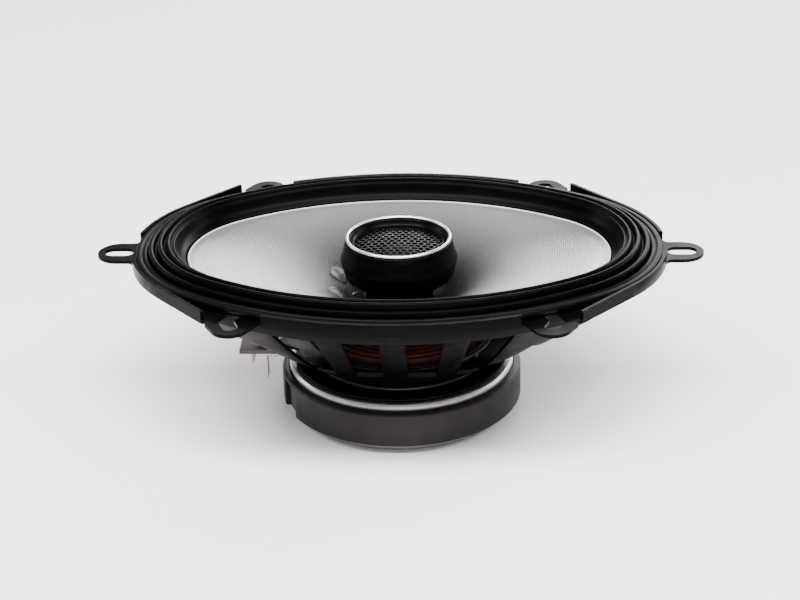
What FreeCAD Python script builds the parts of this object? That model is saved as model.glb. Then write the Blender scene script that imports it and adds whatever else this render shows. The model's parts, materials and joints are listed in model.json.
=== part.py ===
import FreeCAD, Part
import math
import os

import Sketcher
from FreeCAD import Placement, Rotation, Vector

# A coaxial car loudspeaker lying on the back of its magnet. The origin is the centre of that back
# face, +Z points to the listener, +X runs along the long side of the oval frame and the terminals
# are on the -X side. Every oval is made of four tangent arcs whose joints lie at one fixed angle,
# so growing an oval by a distance keeps the same arc centres.

DIMENSIONS = {
    # the oval edge of the cone, from which every other oval is stepped off
    "cone_half_length": 74.1,
    "cone_half_width": 47.66,
    "arc_joint_angle": 54.73,
    # pressed frame
    "flange_top": 58.0,
    "sheet": 1.2,
    "flange_reach": 19.4,
    "lip_height": 3.2,
    "corner_flat_angle": 41.0,
    "corner_flat_end": 62.4,
    "side_lug_reach": 106.3,
    "side_lug_half_width": 7.7,
    "side_slot_place": 98.7,
    "side_slot_length": 10.3,
    "slot_half_width": 3.15,
    "corner_slot_along": 52.3,
    "corner_slot_across": 61.1,
    "corner_slot_radius": 2.6,
    "corner_lug_radius": 6.3,
    "seat_radius": 37.8,
    "seat_height": 18.0,
    "wall_foot_radius": 29.0,
    "wall_middle_height": 30.0,
    "wall_middle_half_length": 53.0,
    "wall_middle_half_width": 39.0,
    "wall_top_height": 50.0,
    "wall_top_reach": 10.0,
    "wall_skin": 1.7,
    "seat_hole_radius": 17.0,
    "rivet_circle": 21.5,
    "rivet_radius": 1.8,
    "rivet_head_radius": 2.7,
    "rivet_head_height": 1.1,
    # soft parts at the front
    "gasket_inner_reach": 13.7,
    "gasket_outer_reach": 17.9,
    "gasket_height": 3.2,
    "surround_sheet": 0.8,
    "cone_sheet": 0.9,
    "roll_crest": 6.35,
    "spider_sheet": 0.7,
    "dab_height": 2.1,
    "dab_half_length": 4.7,
    "dab_half_width": 3.4,
    # motor
    "pole_radius": 12.4,
    "pole_top": 18.5,
    "screw_bore_radius": 2.6,
    "screw_sink_radius": 6.2,
    "screw_seat": 3.4,
    "former_radius": 12.9,
    "former_sheet": 0.4,
    "coil_winding": 0.9,
    "gap_radius": 14.9,
    "back_plate_radius": 39.0,
    "back_plate_height": 4.0,
    "magnet_radius": 41.0,
    "magnet_bore_radius": 18.0,
    "magnet_top": 14.0,
    "top_plate_radius": 40.0,
    "boot_radius": 42.7,
    "boot_top": 16.0,
    # tweeter
    "post_radius": 11.8,
    "barrel_floor": 48.5,
    "barrel_shoulder_radius": 20.4,
    "barrel_shoulder_height": 56.0,
    "bezel_radius": 18.5,
    "bezel_top": 64.1,
    "screen_radius": 17.1,
    "screen_edge": 60.9,
    "screen_rise": 1.1,
    "screen_sheet": 0.5,
    "dome_radius": 6.4,
    "dome_rise": 2.1,
    "dome_level": 57.6,
    "dome_sheet": 0.35,
    # terminals
    "board_bottom": 22.6,
    "board_sheet": 1.6,
    "blade_sheet": 0.8,
    "eyelet_overhang": 0.7,
    # tweeter's series capacitor
    "capacitor_radius": 4.0,
    "capacitor_length": 13.0,
    "capacitor_pad_length": 5.0,
    "capacitor_pad_width": 11.0,
    "capacitor_pad_height": 3.4,
}

document = FreeCAD.newDocument("coaxial_speaker")
sheet = document.addObject("Spreadsheet::Sheet", "Sizes")
for row, (alias, number) in enumerate(DIMENSIONS.items(), start=1):
    sheet.set(f"A{row}", alias)
    sheet.set(f"B{row}", str(number))
    sheet.setAlias(f"B{row}", alias)
document.recompute()


class Size:
    """A length together with the spreadsheet expression that it comes from."""

    def __init__(self, value, text):
        self.value = value
        self.text = text

    def __add__(self, other):
        other = size(other)
        return Size(self.value + other.value, f"({self.text} + {other.text})")

    def __sub__(self, other):
        other = size(other)
        return Size(self.value - other.value, f"({self.text} - {other.text})")

    def __rsub__(self, other):
        return size(other) - self

    def __mul__(self, other):
        other = size(other)
        return Size(self.value * other.value, f"({self.text} * {other.text})")

    def __truediv__(self, other):
        other = size(other)
        return Size(self.value / other.value, f"({self.text} / {other.text})")

    def __neg__(self):
        return Size(-self.value, f"(-1 * {self.text})")

    __radd__ = __add__
    __rmul__ = __mul__


def size(value):
    """A Size as it is, or a plain number as a Size of its own."""
    if isinstance(value, Size):
        return value
    return Size(float(value), f"({value:.6f})")


def cell(alias):
    return Size(DIMENSIONS[alias], f"Sizes.{alias}")


def cosine(angle):
    return Size(math.cos(math.radians(angle.value)), f"cos({angle.text} * 1deg)")


def sine(angle):
    return Size(math.sin(math.radians(angle.value)), f"sin({angle.text} * 1deg)")


def bind(item, name, value):
    """Sets a property and ties it to its expression."""
    value = size(value)
    setattr(item, name, value.value)
    item.setExpression(name, value.text)


# --- sketches -------------------------------------------------------------------------------------


def new_body(label):
    body = document.addObject("PartDesign::Body", label)
    body.Label = label
    return body


def plane_sketch(body, name, plane="XY_Plane", height=0.0):
    """An empty sketch on one of the body's own planes, raised by height along its normal."""
    sketch = body.newObject("Sketcher::SketchObject", name)
    support = [item for item in body.Origin.OriginFeatures if item.Role == plane]
    sketch.AttachmentSupport = [(support[0], "")]
    sketch.MapMode = "FlatFace"
    height = size(height)
    sketch.AttachmentOffset = Placement(Vector(0, 0, height.value), Rotation())
    sketch.setExpression(".AttachmentOffset.Base.z", height.text)
    return sketch


def hold(sketch, kind, geometry, point, value):
    """Ties one coordinate of a sketch point to an expression."""
    if abs(value.value) < 1e-9:
        axis = -2 if kind == "DistanceX" else -1
        sketch.addConstraint(Sketcher.Constraint("PointOnObject", geometry, point, axis))
        return
    index = sketch.addConstraint(Sketcher.Constraint(kind, -1, 1, geometry, point, value.value))
    sketch.setExpression(f"Constraints[{index}]", value.text)


def draw(sketch, corners, closed=True):
    """Draws a chain of corners (x, y) or (x, y, radius).

    A radius makes the run to the next corner an arc: positive turns left, negative turns right.
    """
    points = [(size(corner[0]), size(corner[1])) for corner in corners]
    radii = [size(corner[2]) if len(corner) > 2 else None for corner in corners]
    runs = len(corners) if closed else len(corners) - 1
    ends = []
    for index in range(runs):
        start = Vector(points[index][0].value, points[index][1].value, 0)
        following = (index + 1) % len(corners)
        finish = Vector(points[following][0].value, points[following][1].value, 0)
        radius = radii[index]
        if radius is None:
            geometry = sketch.addGeometry(Part.LineSegment(start, finish), False)
            ends.append((geometry, 1, 2))
            continue
        turn = 1 if radius.value > 0 else -1
        half = (finish - start).Length / 2
        rise = math.sqrt(max(radius.value**2 - half**2, 0.0))
        along = (finish - start).normalize()
        centre = (start + finish) * 0.5 + Vector(-along.y, along.x, 0) * rise * turn
        first, last = (start, finish) if turn > 0 else (finish, start)
        begin = math.atan2(first.y - centre.y, first.x - centre.x)
        end = math.atan2(last.y - centre.y, last.x - centre.x)
        circle = Part.Circle(centre, Vector(0, 0, 1), abs(radius.value))
        geometry = sketch.addGeometry(Part.ArcOfCircle(circle, begin, end), False)
        ends.append((geometry, 1, 2) if turn > 0 else (geometry, 2, 1))
    for index, (geometry, start, finish) in enumerate(ends):
        hold(sketch, "DistanceX", geometry, start, points[index][0])
        hold(sketch, "DistanceY", geometry, start, points[index][1])
        if closed or index + 1 < len(ends):
            after = ends[(index + 1) % len(ends)]
            join = Sketcher.Constraint("Coincident", geometry, finish, after[0], after[1])
            sketch.addConstraint(join)
        if radii[index] is not None:
            radius = radii[index] if radii[index].value > 0 else -radii[index]
            limit = sketch.addConstraint(Sketcher.Constraint("Radius", geometry, radius.value))
            sketch.setExpression(f"Constraints[{limit}]", radius.text)
    if not closed:
        geometry, _, finish = ends[-1]
        hold(sketch, "DistanceX", geometry, finish, points[-1][0])
        hold(sketch, "DistanceY", geometry, finish, points[-1][1])


def draw_circle(sketch, x, y, radius):
    x, y, radius = size(x), size(y), size(radius)
    circle = Part.Circle(Vector(x.value, y.value, 0), Vector(0, 0, 1), radius.value)
    geometry = sketch.addGeometry(circle, False)
    hold(sketch, "DistanceX", geometry, 3, x)
    hold(sketch, "DistanceY", geometry, 3, y)
    limit = sketch.addConstraint(Sketcher.Constraint("Radius", geometry, radius.value))
    sketch.setExpression(f"Constraints[{limit}]", radius.text)


# --- ovals ----------------------------------------------------------------------------------------

JOINT = cell("arc_joint_angle")


def oval_arcs(half_length, half_width):
    """The arc centres' distance, both radii and the joint corner of a four-arc oval."""
    spread = size(half_length) - half_width
    tangent = sine(JOINT) / cosine(JOINT)
    secant = size(1) / cosine(JOINT)
    centre = spread / (size(1) - secant + tangent)
    end_radius = half_length - centre
    side_radius = end_radius + centre * secant
    joint_x = centre + end_radius * cosine(JOINT)
    joint_y = end_radius * sine(JOINT)
    return centre, end_radius, side_radius, joint_x, joint_y


def oval_corners(half_length, half_width):
    _, end_radius, side_radius, x, y = oval_arcs(half_length, half_width)
    return [
        (x, -y, end_radius),
        (x, y, side_radius),
        (-x, y, end_radius),
        (-x, -y, side_radius),
    ]


def draw_oval(sketch, reach, half_length=None, half_width=None):
    """An oval at a distance outside the cone's edge, or of the half sizes given."""
    if half_length is None:
        half_length = cell("cone_half_length") + reach
        half_width = cell("cone_half_width") + reach
    draw(sketch, oval_corners(size(half_length), size(half_width)))


def oval_ring(body, name, outline):
    """A ring round the oval. The outline's corners are (distance outside the cone's edge, height)."""
    half_length = cell("cone_half_length")
    half_width = cell("cone_half_width")
    _, end_radius, side_radius, joint_x, joint_y = oval_arcs(half_length, half_width)
    path = plane_sketch(body, name + "_path")
    quarter = [(half_length, 0, end_radius), (joint_x, joint_y, side_radius), (0, half_width)]
    draw(path, quarter, closed=False)
    profile = plane_sketch(body, name + "_profile", "XZ_Plane")
    draw(profile, [(half_length + corner[0], *corner[1:]) for corner in outline])
    pipe = body.newObject("PartDesign::AdditivePipe", name + "_quarter")
    pipe.Profile = profile
    pipe.Spine = (path, ["Edge1", "Edge2"])
    four_fold(body, name, [pipe])


def four_fold(body, name, features):
    """Repeats features of the first quarter in the other three."""
    mirrors = []
    many = body.newObject("PartDesign::MultiTransform", name + "_quarters")
    for plane in ("XZ_Plane", "YZ_Plane"):
        mirror = document.addObject("PartDesign::Mirrored", f"{name}_{plane[:2]}_mirror")
        body.addObject(mirror)
        support = [item for item in body.Origin.OriginFeatures if item.Role == plane]
        mirror.MirrorPlane = (support[0], [""])
        mirrors.append(mirror)
    many.Originals = features
    many.Transformations = mirrors
    body.Tip = many


def quarter_to_whole(corners):
    """A whole outline from its first quarter, which runs from the X axis to the Y axis."""
    points = [(size(corner[0]), size(corner[1])) for corner in corners]
    radii = [corner[2] if len(corner) > 2 else None for corner in corners[:-1]]
    whole = []
    for sign_x, sign_y in ((1, 1), (-1, 1), (-1, -1), (1, -1)):
        forward = sign_x * sign_y > 0
        chain = points[:-1] if forward else points[:0:-1]
        bends = radii if forward else radii[::-1]
        for (x, y), radius in zip(chain, bends):
            x = x if sign_x > 0 else -x
            y = y if sign_y > 0 else -y
            whole.append((x, y) if radius is None else (x, y, radius))
    return whole


# --- round pieces ---------------------------------------------------------------------------------


def turn(body, name, outline, kind="PartDesign::Revolution"):
    """Turns an outline of (radius, height) corners about the Z axis, as metal or as a groove."""
    profile = plane_sketch(body, name + "_profile", "XZ_Plane")
    draw(profile, outline)
    feature = body.newObject(kind, name)
    feature.Profile = profile
    feature.ReferenceAxis = (profile, ["V_Axis"])
    feature.Angle = 360
    return feature


def turned(label, outline):
    body = new_body(label)
    turn(body, label + "_turn", outline)
    return body


def ring_corners(inner, outer, bottom, top):
    return [(inner, bottom), (outer, bottom), (outer, top), (inner, top)]


def ring(label, inner, outer, bottom, top):
    """A plain ring, or a disc where the inner radius is 0."""
    return turned(label, ring_corners(inner, outer, bottom, top))


def cap_corners(radius, level, rise, thick):
    """The outline of a thin spherical cap above a level."""
    bend = (radius * radius + rise * rise) / (rise * 2)
    low_crown = (0, level + rise, -bend)
    high_crown = (0, level + rise + thick)
    return [low_crown, (radius, level), (radius, level + thick, bend), high_crown]


def block(body, name, corners, bottom, height):
    """A straight pad of an outline in the XY plane."""
    outline = plane_sketch(body, name + "_outline", height=bottom)
    draw(outline, corners)
    pad = body.newObject("PartDesign::Pad", name)
    pad.Profile = outline
    bind(pad, "Length", height)
    return pad


def box_corners(low_x, high_x, low_y, high_y):
    return [(low_x, low_y), (high_x, low_y), (high_x, high_y), (low_x, high_y)]


def cut(body, name, draw_outlines, top, depth):
    """A straight pocket from a height downwards. draw_outlines fills its sketch."""
    outline = plane_sketch(body, name + "_outline", height=top)
    draw_outlines(outline)
    pocket = body.newObject("PartDesign::Pocket", name)
    pocket.Profile = outline
    bind(pocket, "Length", depth)
    return pocket


def loft(body, name, sections, kind="PartDesign::AdditiveLoft"):
    """A smooth loft through ovals given as (half length, half width, height)."""
    sketches = []
    for number, (half_length, half_width, height) in enumerate(sections):
        section = plane_sketch(body, f"{name}_section_{number}", height=height)
        draw_oval(section, None, half_length, half_width)
        sketches.append(section)
    feature = body.newObject(kind, name)
    feature.Profile = sketches[0]
    feature.Sections = sketches[1:]
    return feature


# --- pressed steel frame --------------------------------------------------------------------------

FLANGE_TOP = cell("flange_top")
SHEET = cell("sheet")
FLANGE_BOTTOM = FLANGE_TOP - SHEET


def flange_arcs():
    """The outline's own arcs: the cone's oval grown by the flange's reach."""
    half_length = cell("cone_half_length") + cell("flange_reach")
    half_width = cell("cone_half_width") + cell("flange_reach")
    return oval_arcs(half_length, half_width)


def end_arc_point(radius, y):
    """The X of a point on an end arc, given its Y."""
    centre = flange_arcs()[0]
    across = size(y) / radius
    run = Size(math.sqrt(1 - across.value**2), f"sqrt(1 - {across.text} * {across.text})")
    return centre + radius * run


def side_arc_point(radius, x):
    """The Y of a point on a side arc, given its X."""
    centre, _, _, _, _ = flange_arcs()
    drop = centre * (sine(JOINT) / cosine(JOINT))
    across = size(x) / radius
    rise = Size(math.sqrt(1 - across.value**2), f"sqrt(1 - {across.text} * {across.text})")
    return radius * rise - drop


def corner_flat(inset):
    """Both ends of the straight flat by a corner lug, moved in by inset."""
    centre, end_radius, _, _, _ = flange_arcs()
    angle = cell("corner_flat_angle")
    radius = end_radius - inset
    near_x = centre + radius * cosine(angle)
    near_y = radius * sine(angle)
    far_x = cell("corner_flat_end") - size(inset) * cosine(angle)
    far_y = near_y + (near_x - far_x) * (cosine(angle) / sine(angle))
    return near_x, near_y, far_x, far_y


# The rim is turned up between notches beside the lugs. Corners are (x, y) in the first quarter.
SIDE_NOTCH_Y = 9.6
SIDE_LUG_ROOT_X = 94.3
SIDE_NOTCH_FLOOR = (93.4, 8.3)
CORNER_NOTCH_NEAR = [(61.0, 56.5), (60.1, 57.4), (60.8, 58.9)]
CORNER_NOTCH_FAR = [(44.6, 60.2), (43.6, 58.4)]
TOP_NOTCH_X = 42.4

# The directions, seen from the corner slot's outer centre, between which the corner lug is round.
CORNER_LUG_NEAR_ANGLE = 28
CORNER_LUG_FAR_ANGLE = 142

# The bent corner slot goes on from its outer centre through these two, as (x, y).
CORNER_SLOT_BEND = (54.3, 56.1)
CORNER_SLOT_END = (52.7, 53.3)

# Three windows a quarter through the wall, from the long side's middle to the side lug.
WINDOWS = (
    [(4.2, 36.2), (13.6, 33.8), (17.2, 56.4), (4.2, 57.6)],
    [(20.6, 30.2), (28.4, 22.9), (40.6, 49.4), (25.6, 54.2)],
    [(32.6, 16.4), (36.2, 6.2), (56.2, 13.4), (46.4, 31.2)],
)

# Terminal board and the tab of the frame that holds it, with the middles and sizes of its rivets.
BOARD_SPAN = (-57.0, -42.4, -9.6, 9.6)
TAB_SPAN = (-51.0, -41.6, -3.2, 1.4)
BOARD_RIVET = (-47.6, -0.9)
POSITIVE_RIVET = (-50.6, 5.05)
NEGATIVE_RIVET = (-44.9, -6.6)
BOARD_RIVET_RADIUS = 1.5
BLADE_RIVET_RADIUS = 1.2


def flange_quarter():
    """The flange's outline from the tip of the side lug to the middle of the long side."""
    _, end_radius, side_radius, _, _ = flange_arcs()
    near_x, near_y, far_x, far_y = corner_flat(0)
    lug = cell("side_lug_half_width")
    tip = cell("side_lug_reach")
    centre_x = cell("corner_slot_along")
    centre_y = cell("corner_slot_across")
    radius = cell("corner_lug_radius")
    near, far = size(CORNER_LUG_NEAR_ANGLE), size(CORNER_LUG_FAR_ANGLE)
    return [
        (tip, 0, lug),
        (tip - lug, lug),
        (SIDE_LUG_ROOT_X, lug),
        SIDE_NOTCH_FLOOR,
        (end_arc_point(end_radius, SIDE_NOTCH_Y), SIDE_NOTCH_Y, end_radius),
        (near_x, near_y),
        (far_x, far_y),
        *CORNER_NOTCH_NEAR,
        (centre_x + radius * cosine(near), centre_y + radius * sine(near), radius),
        (centre_x, centre_y + radius, radius),
        (centre_x + radius * cosine(far), centre_y + radius * sine(far)),
        *CORNER_NOTCH_FAR,
        (TOP_NOTCH_X, side_arc_point(side_radius, TOP_NOTCH_X), side_radius),
        (0, side_arc_point(side_radius, 0)),
    ]


def lip_outlines():
    """The turned-up stretches of the rim: four by the side lugs and one along each long side."""
    _, end_radius, side_radius, _, _ = flange_arcs()
    near_x, near_y, far_x, far_y = corner_flat(0)
    in_x, in_y, end_x, end_y = corner_flat(SHEET)
    inner_end = end_radius - SHEET
    inner_side = side_radius - SHEET
    side = [
        (end_arc_point(end_radius, SIDE_NOTCH_Y), SIDE_NOTCH_Y, end_radius),
        (near_x, near_y),
        (far_x, far_y),
        (end_x, end_y),
        (in_x, in_y, -inner_end),
        (end_arc_point(inner_end, SIDE_NOTCH_Y), SIDE_NOTCH_Y),
    ]
    high = side_arc_point(side_radius, TOP_NOTCH_X)
    low = side_arc_point(inner_side, TOP_NOTCH_X)
    top = [
        (TOP_NOTCH_X, high, side_radius),
        (-TOP_NOTCH_X, high),
        (-TOP_NOTCH_X, low, -inner_side),
        (TOP_NOTCH_X, low),
    ]
    outlines = []
    for sign_x in (1, -1):
        for sign_y in (1, -1):
            outlines.append(reflected(side, sign_x, sign_y))
    outlines += [reflected(top, 1, 1), reflected(top, 1, -1)]
    return outlines


def reflected(corners, sign_x, sign_y):
    """The same outline in another quarter. A single reflection turns its arcs the other way."""
    moved = []
    for corner in corners:
        x = corner[0] if sign_x > 0 else -size(corner[0])
        y = corner[1] if sign_y > 0 else -size(corner[1])
        bend = [size(radius) * (sign_x * sign_y) for radius in corner[2:]]
        moved.append((x, y, *bend))
    return moved


def window_outlines():
    """The windows of all four quarters, seen from the front."""
    outlines = []
    for window in WINDOWS:
        for sign_x in (1, -1):
            for sign_y in (1, -1):
                outlines.append(reflected(window, sign_x, sign_y))
    return outlines


def slot_corners(x1, y1, x2, y2, radius):
    """An obround slot between two centres, its ends as quarter turns."""
    run = Vector(x2.value - x1.value, y2.value - y1.value, 0)
    run.normalize()
    along_x, along_y = size(run.x), size(run.y)
    return [
        (x2 + along_y * radius, y2 - along_x * radius, radius),
        (x2 + along_x * radius, y2 + along_y * radius, radius),
        (x2 - along_y * radius, y2 + along_x * radius),
        (x1 - along_y * radius, y1 + along_x * radius, radius),
        (x1 - along_x * radius, y1 - along_y * radius, radius),
        (x1 + along_y * radius, y1 - along_x * radius),
    ]


def cut_corner_slots(body, top, depth):
    """The bent slot in each corner lug: two obround runs that share a centre."""
    radius = cell("corner_slot_radius")
    outer = (cell("corner_slot_along"), cell("corner_slot_across"))
    ends = [outer]
    for x, y in (CORNER_SLOT_BEND, CORNER_SLOT_END):
        ends.append((size(x), size(y)))
    pockets = []
    for number, (start, finish) in enumerate(zip(ends, ends[1:])):
        corners = slot_corners(*start, *finish, radius)
        name = f"corner_slot_{number}"
        pockets.append(cut(body, name, lambda sketch: draw(sketch, corners), top, depth))
    four_fold(body, "corner_slots", pockets)


def cut_side_slots(body):
    radius = cell("slot_half_width")
    place = cell("side_slot_place")
    half = cell("side_slot_length") / 2 - radius
    slot = slot_corners(place - half, size(0), place + half, size(0), radius)

    def both(sketch):
        draw(sketch, slot)
        draw(sketch, reflected(slot, -1, 1))

    cut(body, "side_slots", both, FLANGE_TOP + 1, 4)


def quarter_points(radius):
    """Four points on a circle, on its diagonals."""
    angles = [math.radians(angle) for angle in (45, 135, 225, 315)]
    return [(radius * math.cos(angle), radius * math.sin(angle)) for angle in angles]


def rivet_circles(radius):
    """Four circles where rivets clinch the frame to the top plate, as a filler of a sketch."""

    def fill(sketch):
        for x, y in quarter_points(cell("rivet_circle")):
            draw_circle(sketch, x, y, radius)

    return fill


def make_basket():
    body = new_body("basket")
    foot = cell("wall_foot_radius")
    top = cell("wall_top_height")
    reach = cell("wall_top_reach")
    seat = cell("seat_height")
    skin = cell("wall_skin")
    outer = [
        (foot, foot, seat + 1),
        (cell("wall_middle_half_length"), cell("wall_middle_half_width"), cell("wall_middle_height")),
        (cell("cone_half_length") + reach, cell("cone_half_width") + reach, top),
    ]
    inner = [(length - skin, width - skin, height) for length, width, height in outer]
    loft(body, "wall", outer)
    loft(body, "wall_inside", inner, "PartDesign::SubtractiveLoft")

    def windows(sketch):
        for outline in window_outlines():
            draw(sketch, outline)

    cut(body, "windows", windows, top + 1, 31)
    turn(body, "seat", ring_corners(cell("seat_hole_radius"), cell("seat_radius"), seat, seat + SHEET))
    cut(body, "rivet_holes", rivet_circles(cell("rivet_radius")), seat + 3, 4)
    collar = [
        (reach - skin, top - 0.3),
        (reach, top - 0.3),
        (11.8, FLANGE_BOTTOM),
        (11.8, FLANGE_TOP),
        (10.2, FLANGE_TOP),
        (reach - skin, top + 0.4),
    ]
    oval_ring(body, "collar", collar)
    flange = plane_sketch(body, "flange_outline", height=FLANGE_BOTTOM)
    draw(flange, quarter_to_whole(flange_quarter()))
    draw_oval(flange, 11.0)
    pad = body.newObject("PartDesign::Pad", "flange")
    pad.Profile = flange
    bind(pad, "Length", SHEET)
    rim = plane_sketch(body, "lip_outline", height=FLANGE_BOTTOM)
    for outline in lip_outlines():
        draw(rim, outline)
    lip = body.newObject("PartDesign::Pad", "lip")
    lip.Profile = rim
    bind(lip, "Length", SHEET + cell("lip_height"))
    cut_corner_slots(body, FLANGE_TOP + 1, 4)
    cut_side_slots(body)
    board_top = cell("board_bottom") + cell("board_sheet")
    block(body, "terminal_tab", box_corners(*TAB_SPAN), board_top, SHEET)

    def tab_hole(sketch):
        draw_circle(sketch, *BOARD_RIVET, BOARD_RIVET_RADIUS)

    cut(body, "tab_hole", tab_hole, board_top + SHEET + 1, 4)
    return body


# --- soft parts at the front ----------------------------------------------------------------------


def make_front_gasket():
    body = new_body("front_gasket")
    inner, outer = cell("gasket_inner_reach"), cell("gasket_outer_reach")
    bottom = FLANGE_TOP + cell("surround_sheet")
    top = FLANGE_TOP + cell("gasket_height")
    outline = [(inner, bottom), (outer, bottom), (outer, top - 0.5), (outer - 0.5, top), (inner, top)]
    oval_ring(body, "gasket_ring", outline)
    cut_corner_slots(body, top + 1, 5)
    return body


def make_surround():
    """A rubber roll of four waves between the frame's flange and the cone's edge."""
    body = new_body("surround")
    thick = cell("surround_sheet")
    crest = FLANGE_TOP + cell("roll_crest")
    land = FLANGE_TOP + thick
    edge = FLANGE_TOP - 0.2
    end = -2.4
    wave = [
        (cell("gasket_outer_reach") - 0.2, land),
        (13.6, land),
        (13.2, crest - 1.7),
        (11.7, crest - 1.6),
        (10.8, crest - 3.2),
        (9.8, crest - 0.2),
        (8.7, crest - 0.1),
        (7.9, crest - 1.9),
        (6.9, crest),
        (5.9, crest),
        (5.4, crest - 1.2),
        (4.6, crest - 0.9),
        (0.9, edge + 0.4),
        (0.45, edge - 0.3),
        (0.3, edge - cell("cone_sheet") - 0.35),
        (end, edge - cell("cone_sheet") - 1.5),
    ]
    # The back follows the front, but for the glued foot under the cone and the step at the flange.
    back = [(corner[0], corner[1] - thick) for corner in reversed(wave)]
    back[0] = (end, edge - cell("cone_sheet") - 2.2)
    back[1] = (0.6, edge - cell("cone_sheet") - 1.2)
    back[2] = (1.1, edge - 1.1)
    back[3] = (1.5, edge - 0.3)
    back[-4] = (11.7, crest - 2.5)
    back[-3] = (12.6, crest - 2.6)
    back[-2] = (13.0, FLANGE_TOP)
    oval_ring(body, "roll", wave + back)
    cut_corner_slots(body, FLANGE_TOP + 2, 4)
    return body


# The cone's front below its edge, as (half length, half width, height).
CONE_SECTIONS = [
    (55.0, 39.0, 54.6),
    (38.0, 31.0, 51.2),
    (27.0, 25.0, 47.6),
    (20.0, 19.4, 43.0),
    (13.3, 13.3, 34.0),
]


def make_cone():
    """A flared cone from its oval edge to the round voice coil former."""
    body = new_body("cone")
    edge = (cell("cone_half_length"), cell("cone_half_width"), FLANGE_TOP - 0.2)
    thick = cell("cone_sheet")
    front = [edge] + CONE_SECTIONS
    back = [(length, width, height - thick) for length, width, height in front]
    loft(body, "cone_back", back)
    rim = plane_sketch(body, "cone_rim_outline", height=edge[2] - thick)
    draw_oval(rim, 0)
    pad = body.newObject("PartDesign::Pad", "cone_rim")
    pad.Profile = rim
    bind(pad, "Length", thick)
    loft(body, "cone_front", front, "PartDesign::SubtractiveLoft")
    neck = cell("former_radius") + cell("former_sheet")
    cut(body, "cone_neck", lambda sketch: draw_circle(sketch, 0, 0, neck), 40, 10)
    return body


DAB_LEVEL = 44.7


def make_dab(label, x, y, spin):
    """A dab of grey adhesive over a flexible lead where it comes through the cone."""
    dab = document.addObject("Part::Ellipsoid", label)
    dab.Label = label
    bind(dab, "Radius1", cell("dab_height"))
    bind(dab, "Radius2", cell("dab_half_length"))
    bind(dab, "Radius3", cell("dab_half_width"))
    dab.Placement = Placement(Vector(x, y, DAB_LEVEL), Rotation(Vector(0, 0, 1), spin))
    return dab


def make_spider():
    """A round corrugated damper between the frame and the voice coil former."""
    inner = cell("former_radius") + cell("former_sheet") + 0.35
    top = [(inner, 29.2), (15.2, 29.2), (16.6, 30.6), (18.2, 28.8), (20.0, 30.6), (21.8, 28.8)]
    top += [(23.6, 30.6), (25.4, 28.8), (27.2, 30.6), (29.0, 28.7), (32.6, 28.7)]
    thick = cell("spider_sheet")
    bottom = [(radius, height - thick) for radius, height in reversed(top)]
    return turned("spider", top[::-1] + bottom[::-1])


def make_spider_ring():
    foot = cell("seat_height") + SHEET
    outline = [(24.7, foot), (26.0, foot), (30.3, 26.8), (33.0, 26.8), (33.0, 28.0), (29.6, 28.0)]
    return turned("spider_ring", outline)


# --- voice coil and motor -------------------------------------------------------------------------

FORMER = cell("former_radius")
FORMER_OUTER = FORMER + cell("former_sheet")


def make_moving_coil():
    ring("voice_coil_former", FORMER, FORMER_OUTER, 12.4, 35.6)
    ring("voice_coil", FORMER_OUTER, FORMER_OUTER + cell("coil_winding"), 12.8, 19.2)
    turned("neck_adhesive", [(FORMER_OUTER, 34.6), (14.1, 35.2), (FORMER_OUTER, 36.8)])


def make_yoke():
    """Back plate and pole in one forging, bored for the screw that holds the tweeter post."""
    plate = cell("back_plate_radius")
    height = cell("back_plate_height")
    pole = cell("pole_radius")
    pole_top = cell("pole_top")
    bore, sink, seat = cell("screw_bore_radius"), cell("screw_sink_radius"), cell("screw_seat")
    edge = 0.6
    outline = [
        (bore, seat),
        (sink, seat),
        (sink, 0),
        (plate - edge, 0),
        (plate, edge),
        (plate, height),
        (pole + 2.0, height),
        (pole, height + 2.0),
        (pole, pole_top),
        (bore, pole_top),
    ]
    return turned("yoke", outline)


def make_magnet():
    magnet = ring_corners(
        cell("magnet_bore_radius"),
        cell("magnet_radius"),
        cell("back_plate_height"),
        cell("magnet_top"),
    )
    return turned("ferrite_magnet", magnet)


def make_top_plate():
    body = new_body("top_plate")
    outer = cell("top_plate_radius")
    bottom, top = cell("magnet_top"), cell("seat_height")
    edge = 0.5
    outline = [(cell("gap_radius"), bottom), (outer, bottom), (outer, top - edge)]
    outline += [(outer - edge, top), (cell("gap_radius"), top)]
    turn(body, "plate", outline)
    cut(body, "rivet_holes", rivet_circles(cell("rivet_radius")), top + 1, 4)
    return body


def make_seat_rivets():
    """Four dome-headed rivets that clinch the frame to the top plate."""
    body = new_body("seat_rivets")
    seat = cell("seat_height")
    head_foot = seat + SHEET
    head_top = head_foot + cell("rivet_head_height")
    for name, radius, low, high in (
        ("shanks", cell("rivet_radius"), seat - 3, head_foot),
        ("heads", cell("rivet_head_radius"), head_foot, head_top),
    ):
        outline = plane_sketch(body, name + "_outline", height=low)
        rivet_circles(radius)(outline)
        pad = body.newObject("PartDesign::Pad", name)
        pad.Profile = outline
        bind(pad, "Length", high - low)
    return body


# Directions of both sides of the boot's notch.
NOTCH_ANGLES = (196, 211)


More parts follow.
